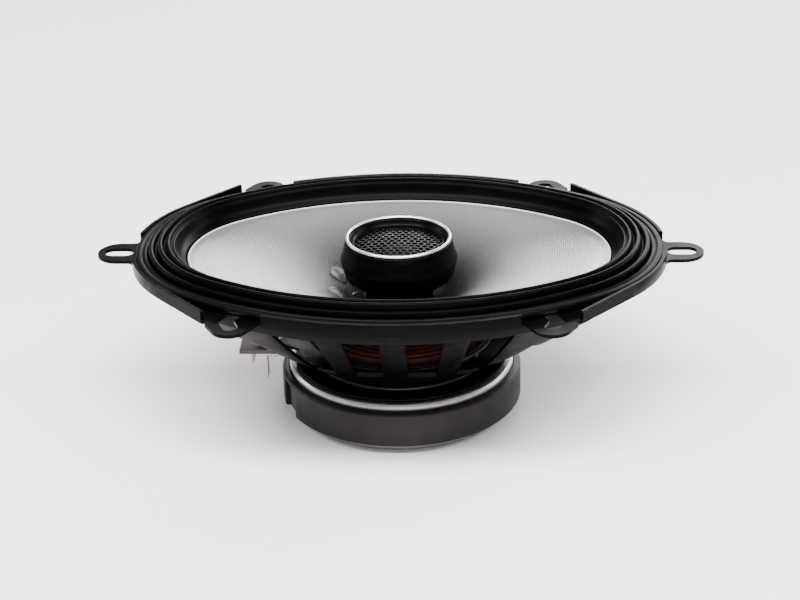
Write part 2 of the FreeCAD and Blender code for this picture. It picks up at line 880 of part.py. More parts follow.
def make_magnet_boot():
    """A rubber band round the magnet with a lip over each of its edges and one notch."""
    body = new_body("magnet_boot")
    outer = cell("boot_radius")
    magnet = cell("magnet_radius")
    low, high = cell("back_plate_height") - 0.8, cell("boot_top")
    plate = cell("top_plate_radius")
    inner = cell("back_plate_radius") + 0.1
    outline = [
        (inner, low),
        (outer - 0.6, low),
        (outer, low + 0.6),
        (outer, high - 0.9),
        (outer - 0.9, high),
        (plate, high),
        (plate, cell("magnet_top")),
        (magnet, cell("magnet_top")),
        (magnet, cell("back_plate_height")),
        (inner, cell("back_plate_height")),
    ]
    turn(body, "band", outline)
    start, finish = NOTCH_ANGLES
    floor, outside = magnet, outer + 3.3
    corners = []
    for angle, reach in ((start, floor), (start, outside), (finish, outside), (finish, floor)):
        corners.append((reach * math.cos(math.radians(angle)), reach * math.sin(math.radians(angle))))
    cut(body, "notch", lambda sketch: draw(sketch, corners), high - 1.6, 14)
    return body


# --- tweeter --------------------------------------------------------------------------------------


SCREW_RADIUS = 2.4
SCREW_HEAD_RADIUS = 4.6


def make_post():
    """The moulded post that stands on the pole and carries the tweeter."""
    post = cell("post_radius")
    floor = cell("barrel_floor")
    foot = cell("pole_top")
    bore, hollow = SCREW_RADIUS, 5.2
    outline = [(bore, foot), (post, foot), (post, floor), (hollow, floor), (hollow, 30.0), (bore, 27.0)]
    return turned("tweeter_post", outline)


def make_post_screw():
    under_head = cell("screw_seat")
    low, end = 0.6, 25.0
    outline = [
        (0, low),
        (SCREW_HEAD_RADIUS - 1.0, low),
        (SCREW_HEAD_RADIUS, low + 1.0),
        (SCREW_HEAD_RADIUS, under_head),
        (SCREW_RADIUS, under_head),
        (SCREW_RADIUS, end),
        (0, end),
    ]
    return turned("post_screw", outline)


def make_barrel():
    """The tweeter's moulded housing: a shouldered cup on the post."""
    floor = cell("barrel_floor")
    shoulder = cell("barrel_shoulder_radius")
    high = cell("barrel_shoulder_height")
    rim = cell("bezel_top") - 1.2
    outline = [
        (4.8, floor),
        (17.4, floor),
        (19.1, floor + 1.5),
        (shoulder, high - 1.0),
        (shoulder, high + 0.4),
        (shoulder - 0.5, high + 1.2),
        (18.75, rim),
        (17.2, rim),
        (17.2, 56.4),
        (16.0, 56.4),
        (16.0, floor + 1.5),
        (4.8, floor + 1.5),
    ]
    return turned("tweeter_barrel", outline)


def make_bezel():
    outer, top = cell("bezel_radius"), cell("bezel_top")
    outline = [(outer - 1.2, top - 1.2), (outer, top - 1.2), (outer, top - 0.4)]
    outline += [(outer - 0.4, top), (outer - 0.9, top), (outer - 1.2, top - 0.3)]
    return turned("tweeter_bezel", outline)


def make_grille():
    """A shallow domed screen below the bezel."""
    thick = cell("screen_sheet")
    outline = cap_corners(cell("screen_radius"), cell("screen_edge") - thick, cell("screen_rise"), thick)
    return turned("tweeter_grille", outline)


def make_tweeter_motor():
    outline = [(0, 50), (9.2, 50), (9.2, 56.3), (7.3, 56.3), (7.3, 51.4), (0, 51.4)]
    turned("tweeter_cup", outline)
    ring("tweeter_magnet", 0, 5.4, 51.4, 54.4)
    ring("tweeter_pole_plate", 0, 5.6, 54.4, 55.9)


def make_faceplate():
    outline = [(9.4, 56.4), (17.1, 56.4), (17.1, 60.3), (16.1, 60.3), (16.1, 58.4)]
    outline += [(10.6, 57.6), (9.4, 57.6)]
    return turned("tweeter_faceplate", outline)


def make_dome():
    """The tweeter's diaphragm, a thin spherical cap, and the coil below it."""
    radius, low, thick = cell("dome_radius"), cell("dome_level"), cell("dome_sheet")
    turned("tweeter_dome", cap_corners(radius, low, cell("dome_rise"), thick))
    ring("tweeter_coil", radius - thick, radius, 53.6, low)
    return ring("tweeter_surround", radius + 0.3, 10.2, low + 0.02, low + thick)


# --- wiring ---------------------------------------------------------------------------------------

LEAD_RADIUS = 0.6
TWEETER_LEAD_RADIUS = 0.35


def lead(label, points, radius):
    """A round wire along straight runs joined by tangent arcs."""
    places = [Vector(*point) for point in points]
    edges = []
    start = places[0]
    for before, corner, after in zip(places, places[1:], places[2:]):
        incoming = (before - corner).normalize()
        outgoing = (after - corner).normalize()
        trim = 0.45 * min((before - corner).Length, (after - corner).Length)
        enter = corner + incoming * trim
        leave = corner + outgoing * trim
        half_turn = (math.pi - incoming.getAngle(outgoing)) / 2
        bend = trim / math.tan(half_turn)
        bisector = (incoming + outgoing).normalize()
        centre = corner + bisector * math.hypot(bend, trim)
        edges.append(Part.LineSegment(start, enter).toShape())
        middle = centre - bisector * bend
        edges.append(Part.Arc(enter, middle, leave).toShape())
        print(f"{label}: bend radius {bend:.1f} mm")
        start = leave
    edges.append(Part.LineSegment(start, places[-1]).toShape())
    path = Part.Wire(edges)
    direction = places[1] - places[0]
    section = Part.Wire(Part.makeCircle(radius, places[0], direction))
    wire = document.addObject("Part::Feature", label)
    wire.Label = label
    wire.Shape = path.makePipeShell([section], True, True)
    wire.Placement = Placement()
    expected = math.pi * radius**2 * path.Length
    print(f"{label}: volume {wire.Shape.Volume:.1f}, section times length {expected:.1f}")
    return wire


def make_leads():
    """Two flexible leads from the terminals to the cone, and two on to the tweeter."""
    rivet_top = DIMENSIONS["board_bottom"] + DIMENSIONS["board_sheet"] + 0.9
    for label, side, end_x, end_y in (
        ("lead_positive", 1, POSITIVE_RIVET[0], POSITIVE_RIVET[1]),
        ("lead_negative", -1, NEGATIVE_RIVET[0], NEGATIVE_RIVET[1]),
    ):
        route = [
            (-22.6, 8.0 * side, 42.4),
            (-27.5, 9.2 * side, 38.0),
            (-34.0, 12.0 * side, 35.6),
            (-40.5, 14.0 * side, 32.0),
            (-45.6, 13.2 * side, 28.6),
            (end_x - 1.4, end_y + 1.2 * side, rivet_top + 0.5),
        ]
        lead(label, route, LEAD_RADIUS)
    for label, side in (("tweeter_lead_positive", 1), ("tweeter_lead_negative", -1)):
        route = [(-16.2, 6.2 * side, 44.4), (-14.2, 5.5 * side, 45.4), (-11.1, 4.2 * side, 45.0)]
        lead(label, route, TWEETER_LEAD_RADIUS)


def make_terminal_board():
    body = new_body("terminal_board")
    block(body, "board", box_corners(*BOARD_SPAN), cell("board_bottom"), cell("board_sheet"))
    top = cell("board_bottom") + cell("board_sheet") + 1

    def holes(sketch):
        draw_circle(sketch, *BOARD_RIVET, BOARD_RIVET_RADIUS)
        draw_circle(sketch, *POSITIVE_RIVET, BLADE_RIVET_RADIUS)
        draw_circle(sketch, *NEGATIVE_RIVET, BLADE_RIVET_RADIUS)

    cut(body, "board_holes", holes, top, 4)
    return body


def make_blade(label, blade_x, low_y, high_y, base_x, tip_height, rivet):
    """A push-on tab: a foot riveted under the board and a blade that hangs from it."""
    body = new_body(label)
    skin = cell("blade_sheet")
    foot_bottom = cell("board_bottom") - skin
    foot = box_corners(blade_x, base_x, low_y, high_y)
    block(body, label + "_foot", foot, foot_bottom, skin)
    blade = box_corners(size(blade_x), size(blade_x) + skin, low_y, high_y)
    block(body, label + "_blade", blade, tip_height, foot_bottom + skin - tip_height)

    def hole(sketch):
        draw_circle(sketch, *rivet, BLADE_RIVET_RADIUS)

    cut(body, label + "_hole", hole, foot_bottom + 2, 3)
    return body


def make_terminal_rivets():
    """Hollow eyelets through the board, one for each tab and one for the frame's own tab."""
    body = new_body("terminal_rivets")
    bottom = cell("board_bottom")
    skin = cell("blade_sheet")
    board_top = bottom + cell("board_sheet")
    tab_top = board_top + SHEET
    over = cell("eyelet_overhang")
    rivets = (
        (POSITIVE_RIVET, BLADE_RIVET_RADIUS, bottom - skin, board_top),
        (NEGATIVE_RIVET, BLADE_RIVET_RADIUS, bottom - skin, board_top),
        (BOARD_RIVET, BOARD_RIVET_RADIUS, bottom, tab_top),
    )
    for number, (place, shank, low, high) in enumerate(rivets):
        head = shank + over
        parts = ((head, low - over, over), (shank, low, high - low), (head, high, over))
        for part, (radius, start, length) in enumerate(parts):
            outline = plane_sketch(body, f"rivet_{number}_{part}", height=start)
            draw_circle(outline, *place, radius)
            pad = body.newObject("PartDesign::Pad", f"rivet_pad_{number}_{part}")
            pad.Profile = outline
            bind(pad, "Length", length)
    return body


def make_capacitor():
    """The tweeter's series capacitor, lying across the frame's inside on a foam pad."""
    capacitor = document.addObject("Part::Cylinder", "crossover_capacitor")
    capacitor.Label = "crossover_capacitor"
    bind(capacitor, "Radius", cell("capacitor_radius"))
    bind(capacitor, "Height", cell("capacitor_length"))
    capacitor.Placement = Placement(Vector(-60.0, 6.5, 41.5), Rotation(Vector(1, 0, 0), 90))
    pad = document.addObject("Part::Box", "capacitor_pad")
    pad.Label = "capacitor_pad"
    bind(pad, "Length", cell("capacitor_pad_length"))
    bind(pad, "Width", cell("capacitor_pad_width"))
    bind(pad, "Height", cell("capacitor_pad_height"))
    pad.Placement = Placement(Vector(-62.0, -5.5, 35.0), Rotation(Vector(0, 1, 0), -32))
    return capacitor, pad


# --- the whole speaker ----------------------------------------------------------------------------


def make_speaker():
    make_basket()
    make_front_gasket()
    make_surround()
    make_cone()
    make_dab("lead_dab_upper", -20.9, 7.9, 8)
    make_dab("lead_dab_lower", -21.1, -7.8, -14)
    make_spider()
    make_spider_ring()
    make_moving_coil()
    make_yoke()
    make_magnet()
    make_top_plate()
    make_seat_rivets()
    make_magnet_boot()
    make_post()
    make_post_screw()
    make_barrel()
    make_bezel()
    make_grille()
    make_tweeter_motor()
    make_faceplate()
    make_dome()
    make_terminal_board()
    make_blade("terminal_positive", -54.3, 1.9, 8.2, -47.9, 13.4, POSITIVE_RIVET)
    make_blade("terminal_negative", -48.0, -9.0, -4.2, -42.6, 12.6, NEGATIVE_RIVET)
    make_terminal_rivets()
    make_leads()
    make_capacitor()


NODE_KINDS = (
    "PartDesign::Body",
    "Part::Feature",
    "Part::Ellipsoid",
    "Part::Cylinder",
    "Part::Box",
)


def nodes():
    return [item for item in document.Objects if item.TypeId in NODE_KINDS]


def check():
    """Stops with a message if a feature failed or a sub-part is not one sound shape."""
    problems = []
    for item in document.Objects:
        if "Invalid" in item.State or "Error" in item.State:
            problems.append(f"{item.Name}: {item.State}")
    for item in nodes():
        if item.Shape.isNull() or not item.Shape.isValid() or not item.Shape.Solids:
            problems.append(f"{item.Label}: not a valid solid")
    if problems:
        raise RuntimeError("; ".join(problems))


def export():
    os.makedirs("parts", exist_ok=True)
    for item in nodes():
        item.Shape.exportStep(f"parts/{item.Label}.step")


make_speaker()
document.recompute()
check()
export()
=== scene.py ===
"""Looks of the coaxial car speaker: finishes for its rigid parts, and detailed pieces for its soft ones."""

import json
import math

import bmesh
import bpy
from mathutils import Matrix, Vector, noise
from mathutils.bvhtree import BVHTree
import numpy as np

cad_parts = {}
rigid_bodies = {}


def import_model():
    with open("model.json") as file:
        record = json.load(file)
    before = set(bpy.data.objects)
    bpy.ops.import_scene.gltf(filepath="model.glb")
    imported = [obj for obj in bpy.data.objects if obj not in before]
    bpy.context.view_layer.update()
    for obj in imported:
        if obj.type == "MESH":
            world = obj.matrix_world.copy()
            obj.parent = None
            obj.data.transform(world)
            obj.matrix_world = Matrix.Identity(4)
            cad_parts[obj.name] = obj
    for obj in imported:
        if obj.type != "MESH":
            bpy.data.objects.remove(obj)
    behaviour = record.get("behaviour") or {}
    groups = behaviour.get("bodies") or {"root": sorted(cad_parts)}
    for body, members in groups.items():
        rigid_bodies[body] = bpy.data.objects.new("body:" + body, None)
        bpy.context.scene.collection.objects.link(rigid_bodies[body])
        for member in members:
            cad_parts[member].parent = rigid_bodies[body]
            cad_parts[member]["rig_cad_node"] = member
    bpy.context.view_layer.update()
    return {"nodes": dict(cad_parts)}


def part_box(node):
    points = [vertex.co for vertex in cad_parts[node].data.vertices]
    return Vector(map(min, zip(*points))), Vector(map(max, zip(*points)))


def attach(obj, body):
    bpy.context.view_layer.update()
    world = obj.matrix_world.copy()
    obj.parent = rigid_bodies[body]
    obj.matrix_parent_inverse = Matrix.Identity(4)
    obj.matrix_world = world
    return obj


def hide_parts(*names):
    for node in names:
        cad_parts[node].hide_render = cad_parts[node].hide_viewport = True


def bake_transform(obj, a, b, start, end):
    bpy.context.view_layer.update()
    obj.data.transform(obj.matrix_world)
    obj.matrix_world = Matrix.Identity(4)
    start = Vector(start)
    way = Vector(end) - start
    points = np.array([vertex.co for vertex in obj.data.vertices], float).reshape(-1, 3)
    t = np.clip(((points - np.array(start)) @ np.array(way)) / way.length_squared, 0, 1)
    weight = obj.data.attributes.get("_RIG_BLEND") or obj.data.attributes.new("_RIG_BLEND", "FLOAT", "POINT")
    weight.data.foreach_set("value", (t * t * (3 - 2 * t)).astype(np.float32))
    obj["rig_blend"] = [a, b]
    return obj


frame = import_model()

MM = 0.001
JOINT = math.radians(54.73)  # each oval's end arcs meet its side arcs at this angle
CONE_EDGE = (74.1, 47.66)  # half length and half width of the cone, which every oval is offset from
EDGE_HEIGHT = 57.8  # front of the cone's edge
AROUND = 360  # steps round a ring
WARM_BLACK = (1.0, 0.86, 0.97)  # tint of the light that black rubber and paint give back

# sizes of the lathe pieces, mm
PLATE_BORE = 14.9  # radius of the top plate's hole, inside the boot
FOOT_BEAD = (30.7, 19.5, 0.65, 0.75)  # reach, height and half sizes, where the basket's wall meets its seat
EDGE_BEAD = (-0.42, EDGE_HEIGHT - 0.08, 0.36, 0.3)  # the same along the cone's edge
ROLLS = 5  # waves of the spider
ROLL_STEPS = 12  # points in each wave
SURROUND_THICK, SPIDER_THICK, ROLL_THICK = 0.5, 0.4, 0.12
SURROUND_STILL, SURROUND_FLEX = 13.2, 12.2  # reach where it starts to move, and run to the cone
SPIDER_STILL, SPIDER_FLEX = 31.0, 16.5
DOME_STILL, DOME_FLEX = 9.3, 2.2
DOME_STEPS = 120
TRIM_STEPS = 180
TRIM_THICK = 0.58

# the tweeter's grille, mm
GRILLE_PITCH, GRILLE_WIRE, GRILLE_SHEET = 2.3, 0.24, 0.4
GRILLE_RIM = 0.9  # width of its plain rim
GRILLE_STEPS = 96

# adhesive dabs, mm
DAB_RINGS, DAB_STEPS = 18, 64
DAB_OUT = 0.9  # how far each is moved out from its CAD solid's centre
DAB_SQUEEZE = 0.8  # its share of the CAD solid's length
DAB_DROP = 1.6  # it follows the steep neck no further down than this
DAB_SINK = 0.25  # its rim lies this far in the cloth

# leads, mm
LEAD_RADIUS, THIN_RADIUS = 0.6, 0.35
BRAID_SIDES = 20
BRAID_STEP = 0.12
BRAID_STRANDS = 4  # ridges each way round
BRAID_WIND = 2.2  # turning of a strand, radians per mm

# edge rounding of CAD parts
WELD_GAP = 0.002
BEVEL_SEGMENTS = 2
BEVEL_ANGLE = math.radians(38)

# camera, solved from the lugs of the speaker that lies on its magnet, and light; metres
AZIMUTH, ELEVATION, ROLL = math.radians(3.15), math.radians(23.6), math.radians(1.42)
DISTANCE = 0.717
LENS = 92
LUG_DEPTH = 0.004  # lugs below the basket's top
AIM_DROP = 0.018  # aim point below the lugs
WORLD_STRENGTH = 0.46
LAMP_AIM = (0, 0, 0.04)


# ---------------------------------------------------------------- shapes


def oval(half_length, half_width, steps=AROUND):
    """Points and outward directions of a four-arc oval, as (x, y, along x, along y)."""
    shift = (half_length - half_width) / (1 - 1 / math.cos(JOINT) + math.tan(JOINT))
    end = half_length - shift
    side = end + shift / math.cos(JOINT)
    outline = []
    for step in range(steps):
        turn = 2 * math.pi * step / steps
        along_x, along_y = math.cos(turn), math.sin(turn)
        if abs(along_y) < math.sin(JOINT):
            x, y, radius = math.copysign(shift, along_x), 0, end
        else:
            x, y, radius = 0, -math.copysign(shift * math.tan(JOINT), along_y), side
        outline.append((x + radius * along_x, y + radius * along_y, along_x, along_y))
    return outline


def circle(steps=AROUND):
    """The same for a ring round the axis, whose reach is then its radius."""
    turns = [2 * math.pi * step / steps for step in range(steps)]
    return [(0, 0, math.cos(turn), math.sin(turn)) for turn in turns]


def softened(corners, rounds=2, closed=False):
    """The line through these corners with its corners cut off again and again."""
    for _ in range(rounds):
        pairs = list(zip(corners, corners[1:] + corners[:1]))
        if not closed:
            pairs = pairs[:-1]
        cut = []
        for (a, b), (c, d) in pairs:
            cut += [(0.75 * a + 0.25 * c, 0.75 * b + 0.25 * d)]
            cut += [(0.25 * a + 0.75 * c, 0.25 * b + 0.75 * d)]
        corners = cut if closed else [corners[0]] + cut + [corners[-1]]
    return corners


def sheet_profile(top, thick):
    """The closed outline of a sheet below the line top, which runs inwards."""
    below = []
    for index, (reach, height) in enumerate(top):
        before, after = top[max(index - 1, 0)], top[min(index + 1, len(top) - 1)]
        run, rise = after[0] - before[0], after[1] - before[1]
        length = math.hypot(run, rise) or 1
        below.append((reach - thick * rise / length, height + thick * run / length))
    return top + below[::-1]


def linked(name, data):
    """An object that holds this data, put into the scene."""
    thing = bpy.data.objects.new(name, data)
    bpy.context.scene.collection.objects.link(thing)
    return thing


def object_of(name, points, faces, crease=40):
    """A smooth-shaded piece from points in mm, with its creases kept."""
    mesh = bpy.data.meshes.new(name)
    mesh.from_pydata([[value * MM for value in point] for point in points], [], faces)
    work = bmesh.new()
    work.from_mesh(mesh)
    bmesh.ops.recalc_face_normals(work, faces=work.faces)
    work.to_mesh(mesh)
    work.free()
    mesh.shade_smooth()
    mesh.set_sharp_from_angle(angle=math.radians(crease))
    return linked(name, mesh)


def bead_profile(reach, height, half_reach, half_height, steps):
    """The corners of an ellipse."""
    turns = [2 * math.pi * step / steps for step in range(steps)]
    return [(reach + half_reach * math.cos(turn), height + half_height * math.sin(turn)) for turn in turns]


def ring(name, outline, profile, crease=40):
    """A closed profile of (reach, height) corners carried round an outline."""
    points = [
        (x + along_x * reach, y + along_y * reach, height)
        for x, y, along_x, along_y in outline
        for reach, height in profile
    ]
    across, count = len(profile), len(outline)
    faces = []
    for row in range(count):
        here, there = row * across, (row + 1) % count * across
        for column in range(across):
            beside = (column + 1) % across
            faces.append((here + column, there + column, there + beside, here + beside))
    return object_of(name, points, faces, crease)


def movement(profile, still, flex):
    """How much each corner of a profile moves: none out to reach still, all at flex inside it."""
    return [eased((still - reach) / flex) for reach, _ in profile]


def eased(share):
    """From 0 to 1 with no kink at either end."""
    share = min(max(share, 0.0), 1.0)
    return share * share * (3 - 2 * share)


def stretched(piece, still, moving, weights):
    """Lets the piece bend between two bodies, each point by its own weight."""
    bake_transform(piece, still, moving, start=(0, 0, 0), end=(0, 0, 1))
    piece.data.attributes["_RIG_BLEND"].data.foreach_set("value", weights)


def middle(node):
    """Centre and half size of a CAD node, in mm."""
    low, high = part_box(node)
    return (low + high) / 2 / MM, (high - low) / 2 / MM


# ---------------------------------------------------------------- materials


class Paint:
    """A procedural material on a Principled shader."""

    def __init__(self, name, **plain):
        self.material = bpy.data.materials.new(name)
        self.material.use_nodes = True
        self.tree = self.material.node_tree
        self.shader = self.tree.nodes["Principled BSDF"]
        for socket, value in plain.items():
            self.feed(self.shader.inputs[socket.replace("_", " ")], value)
        self.place = self.node("ShaderNodeTexCoord").outputs["Object"]
        split = self.node("ShaderNodeSeparateXYZ", {0: self.place})
        self.x, self.y, self.z = split.outputs

    def feed(self, socket, value):
        """Links a socket to another, or sets it."""
        if isinstance(value, bpy.types.NodeSocket):
            self.tree.links.new(value, socket)
        elif isinstance(value, tuple) and len(value) == 3 and socket.type == "RGBA":
            socket.default_value = (*value, 1)
        else:
            socket.default_value = value

    def node(self, kind, inputs=None, **settings):
        """A new node with its settings and inputs."""
        made = self.tree.nodes.new(kind)
        for name, value in settings.items():
            setattr(made, name, value)
        for socket, value in (inputs or {}).items():
            self.feed(made.inputs[socket], value)
        return made

    def math(self, operation, a, b=0.0, c=0.0):
        return self.node("ShaderNodeMath", {0: a, 1: b, 2: c}, operation=operation).outputs[0]

    def span(self, value, low, high, to_low=0.0, to_high=1.0):
        """The value's range low to high, eased onto another."""
        inputs = {"Value": value, "From Min": low, "From Max": high}
        inputs.update({"To Min": to_low, "To Max": to_high})
        made = self.node("ShaderNodeMapRange", inputs, interpolation_type="SMOOTHSTEP")
        return made.outputs["Result"]

    def noise(self, size, detail=3.0, place=None, roughness=0.55):
        """Noise with grains of a size in mm."""
        inputs = {"Vector": place or self.place, "Scale": 1 / (size * MM)}
        inputs.update({"Detail": detail, "Roughness": roughness})
        return self.node("ShaderNodeTexNoise", inputs).outputs[0]

    def mix(self, share, a, b):
        """Colour a, with a share of colour b."""
        made = self.node("ShaderNodeMix", data_type="RGBA")
        self.feed(made.inputs["Factor"], share)
        self.feed(made.inputs[6], a)
        self.feed(made.inputs[7], b)
        return made.outputs[2]

    def vector(self, x, y, z):
        return self.node("ShaderNodeCombineXYZ", {0: x, 1: y, 2: z}).outputs[0]

    def radius(self):
        """Distance from the axis."""
        x_squared, y_squared = self.math("MULTIPLY", self.x, self.x), self.math("MULTIPLY", self.y, self.y)
        return self.math("SQRT", self.math("ADD", x_squared, y_squared))

    def turned(self):
        """Place along a lathe's marks: they run round the axis."""
        around = self.math("MULTIPLY", self.math("ARCTAN2", self.y, self.x), 0.0006)
        return self.vector(self.radius(), self.z, around)

    def bump(self, height, depth, normal=None):
        """Raises the surface by height, 0 to 1, times a depth in mm."""
        inputs = {"Height": height, "Distance": depth * MM, "Strength": 1.0}
        if normal:
            inputs["Normal"] = normal
        return self.node("ShaderNodeBump", inputs).outputs["Normal"]

    def threads(self, along, across, pitch):
        """Plain weave: its height and which threads lie on top, from two places in the cloth."""
        u = self.math("DIVIDE", along, pitch * MM)
        v = self.math("DIVIDE", across, pitch * MM)
        tiles = self.math("ADD", self.math("FLOOR", u), self.math("FLOOR", v))
        over = self.math("ABSOLUTE", self.math("MODULO", tiles, 2.0))
        wave_u = self.math("ABSOLUTE", self.math("SINE", self.math("MULTIPLY", u, math.pi)))
        wave_v = self.math("ABSOLUTE", self.math("SINE", self.math("MULTIPLY", v, math.pi)))
        up, down = (
            self.math("MULTIPLY", self.math("POWER", one, 0.5), self.math("MULTIPLY_ADD", other, 0.55, 0.45))
            for one, other in ((wave_u, wave_v), (wave_v, wave_u))
        )
        difference = self.math("SUBTRACT", up, down)
        return self.math("MULTIPLY_ADD", over, difference, down), over

    def wear(self, **sockets):
        """Feeds the shader's own sockets."""
        for socket, value in sockets.items():
            self.feed(self.shader.inputs[socket.replace("_", " ")], value)
        return self.material


def painted(name, dark, light, grain, roughness, depth, **plain):
    """A coated or moulded surface: fine grain, faint cloudiness and uneven gloss."""
    paint = Paint(name, **plain)
    fine, broad = paint.noise(grain, 4.0), paint.noise(grain * 40, 2.0)
    tone = paint.math("MULTIPLY_ADD", fine, 0.55, paint.math("MULTIPLY", broad, 0.45))
    gloss = paint.span(broad, 0.3, 0.7, roughness - 0.05, roughness + 0.06)
    return paint.wear(
        Base_Color=paint.mix(paint.span(tone, 0.3, 0.7), dark, light),
        Roughness=gloss,
        Normal=paint.bump(fine, depth),
    )


def machined(name, dark, light, roughness, pitch=0.22, depth=0.006, metallic=1.0):
    """Turned metal: marks that run round the axis, and faint stains."""
    paint = Paint(name, Metallic=metallic)
    marks = paint.noise(pitch, 5.0, paint.turned(), 0.7)
    stains = paint.noise(9, 4.0)
    tone = paint.math("MULTIPLY_ADD", marks, 0.6, paint.math("MULTIPLY", stains, 0.4))
    return paint.wear(
        Base_Color=paint.mix(paint.span(tone, 0.32, 0.68), dark, light),
        Roughness=paint.span(stains, 0.3, 0.7, roughness - 0.06, roughness + 0.08),
        Normal=paint.bump(marks, depth),
    )


def cone_cloth():
    """Silver coated woven cone: floats painted bright as painted sheen, darker gaps, a pressed edge, and
    painted shade darkening it towards the tweeter.
    """
    paint = Paint("cone_weave", Metallic=0.8)
    height, over = paint.threads(paint.x, paint.y, 0.77)
    pressed = paint.span(paint.z, 57.15 * MM, 57.45 * MM)
    fibres = paint.noise(0.12, 3.0)
    cloud = paint.noise(16, 3.0)
    # painted sheen: floats (over) are lifted brighter than the threads under them, standing in for the
    # cloth's sheen; the height term follows the weave
    painted_sheen_lift = paint.math("MULTIPLY_ADD", over, 0.38, paint.math("MULTIPLY", height, 0.5))
    tone = paint.math("ADD", painted_sheen_lift, paint.math("MULTIPLY_ADD", fibres, 0.2, -0.04))
    cloth = paint.mix(paint.span(tone, 0.1, 0.95), (0.20, 0.197, 0.203), (0.56, 0.555, 0.565))
    cloth = paint.mix(paint.span(cloud, 0.3, 0.75, 0.0, 0.2), cloth, (0.42, 0.42, 0.43))
    cloth = paint.mix(paint.math("MULTIPLY", pressed, 0.7), cloth, (0.36, 0.35, 0.36))
    # painted shade: the cloth turns nearly black from 55 mm radius in to 20 mm, standing in for the dark
    # reflection round the tweeter
    neck = paint.span(paint.radius(), 20 * MM, 55 * MM, 0.95, 0.0)
    cloth = paint.mix(neck, cloth, (0.019, 0.015, 0.018))
    flattened = paint.math("MULTIPLY_ADD", pressed, -0.7, 1.0)
    relief = paint.math("MULTIPLY", paint.math("MULTIPLY_ADD", over, 0.35, height), flattened)
    return paint.wear(
        Base_Color=cloth,
        Roughness=paint.math("MULTIPLY_ADD", height, -0.1, 0.40),
        Normal=paint.bump(relief, 0.08, paint.bump(fibres, 0.015)),
    )


def spider_cloth():
    """Resin-stiffened cotton: reddish brown weave with pale fluff on its threads."""
    paint = Paint("spider_cloth", Specular_IOR_Level=0.3)
    height, over = paint.threads(paint.x, paint.y, 0.42)
    cloud = paint.noise(6, 3.0)
    fluff = paint.noise(0.1, 2.0)
    cloth = paint.mix(paint.span(height, 0.1, 0.9), (0.020, 0.005, 0.003), (0.20, 0.040, 0.024))
    cloth = paint.mix(paint.span(cloud, 0.35, 0.7, 0.0, 0.5), cloth, (0.05, 0.012, 0.007))
    cloth = paint.mix(paint.math("MULTIPLY", over, 0.18), cloth, (0.30, 0.10, 0.05))
    # painted shade: the cloth darkens from 30.2 mm height down to 28.8 mm, so the valleys of the waves are
    # painted dark and the crests stay light
    cloth = paint.mix(paint.span(paint.z, 28.8 * MM, 30.2 * MM), (0.008, 0.003, 0.002), cloth)
    return paint.wear(
        Base_Color=cloth,
        Roughness=paint.span(fluff, 0.2, 0.8, 0.72, 0.95),
        Normal=paint.bump(height, 0.09, paint.bump(fluff, 0.03)),
    )


def rubber(name, dark, light, roughness, grain=0.16, depth=0.010, gloss=0.22):
    """Moulded rubber: fine matt skin, paler where it has rubbed, with a little dust."""
    paint = Paint(name, Specular_IOR_Level=gloss, Specular_Tint=WARM_BLACK)
    fine, broad = paint.noise(grain, 4.0), paint.noise(11, 3.0)
    dust = paint.span(paint.noise(0.5, 2.0), 0.7, 0.8, 0.0, 0.25)
    skin = paint.mix(paint.span(broad, 0.3, 0.7), dark, light)
    skin = paint.mix(dust, skin, (0.022, 0.020, 0.021))
    return paint.wear(
        Base_Color=skin,
        Roughness=paint.span(fine, 0.25, 0.75, roughness - 0.06, roughness + 0.08),
        Normal=paint.bump(fine, depth),
    )


def braid():
    """Tinned copper braid."""
    paint = Paint("lead_braid", Metallic=0.9)
    wisps = paint.noise(0.18, 4.0)
    worn = paint.noise(2.2, 2.0)
    metal = paint.mix(paint.span(wisps, 0.3, 0.7), (0.10, 0.088, 0.082), (0.40, 0.37, 0.34))
    metal = paint.mix(paint.span(worn, 0.5, 0.8, 0.0, 0.5), metal, (0.45, 0.20, 0.10))
    return paint.wear(
        Base_Color=metal,
        Roughness=paint.span(wisps, 0.2, 0.8, 0.3, 0.5),
        Normal=paint.bump(wisps, 0.05),
    )


def winding():
    """Enamelled copper wire laid turn by turn along the axis."""
    paint = Paint("copper_wire", Metallic=0.95, Coat_Weight=0.4, Coat_Roughness=0.15)
    wire = 0.28 * MM
    turns = paint.math("ABSOLUTE", paint.math("SINE", paint.math("MULTIPLY", paint.z, math.pi / wire)))
    patches = paint.noise(1.5, 3.0)
    metal = paint.mix(paint.span(turns, 0.1, 0.8), (0.16, 0.035, 0.012), (0.78, 0.34, 0.16))
    return paint.wear(
        Base_Color=metal,
        Roughness=paint.span(patches, 0.3, 0.7, 0.22, 0.36),
        Normal=paint.bump(turns, 0.08),
    )


def speckled(name, dark, light, grain, roughness, depth, **plain):
    """Sintered, fibrous or foamed stuff: two tones in coarse grains with pits."""
    paint = Paint(name, Roughness=roughness, **plain)
    grains, pits = paint.noise(grain, 6.0, roughness=0.7), paint.noise(grain * 5, 4.0)
    height = paint.math("MULTIPLY_ADD", grains, 0.7, paint.math("MULTIPLY", pits, 0.3))
    return paint.wear(
        Base_Color=paint.mix(paint.span(height, 0.35, 0.65), dark, light),
        Normal=paint.bump(height, depth),
    )


def film():
    """Thin moulded dome with a silk weave pressed into it."""
    paint = Paint("dome_film", Specular_IOR_Level=0.2)
    height, over = paint.threads(paint.x, paint.y, 0.22)
    cloud = paint.noise(3, 2.0)
    tone = paint.math("MULTIPLY_ADD", over, 0.2, paint.math("MULTIPLY", height, 0.6))
    return paint.wear(
        Base_Color=paint.mix(tone, (0.002, 0.002, 0.0022), (0.011, 0.011, 0.012)),
        Roughness=paint.span(cloud, 0.3, 0.7, 0.30, 0.42),
        Normal=paint.bump(height, 0.006),
    )


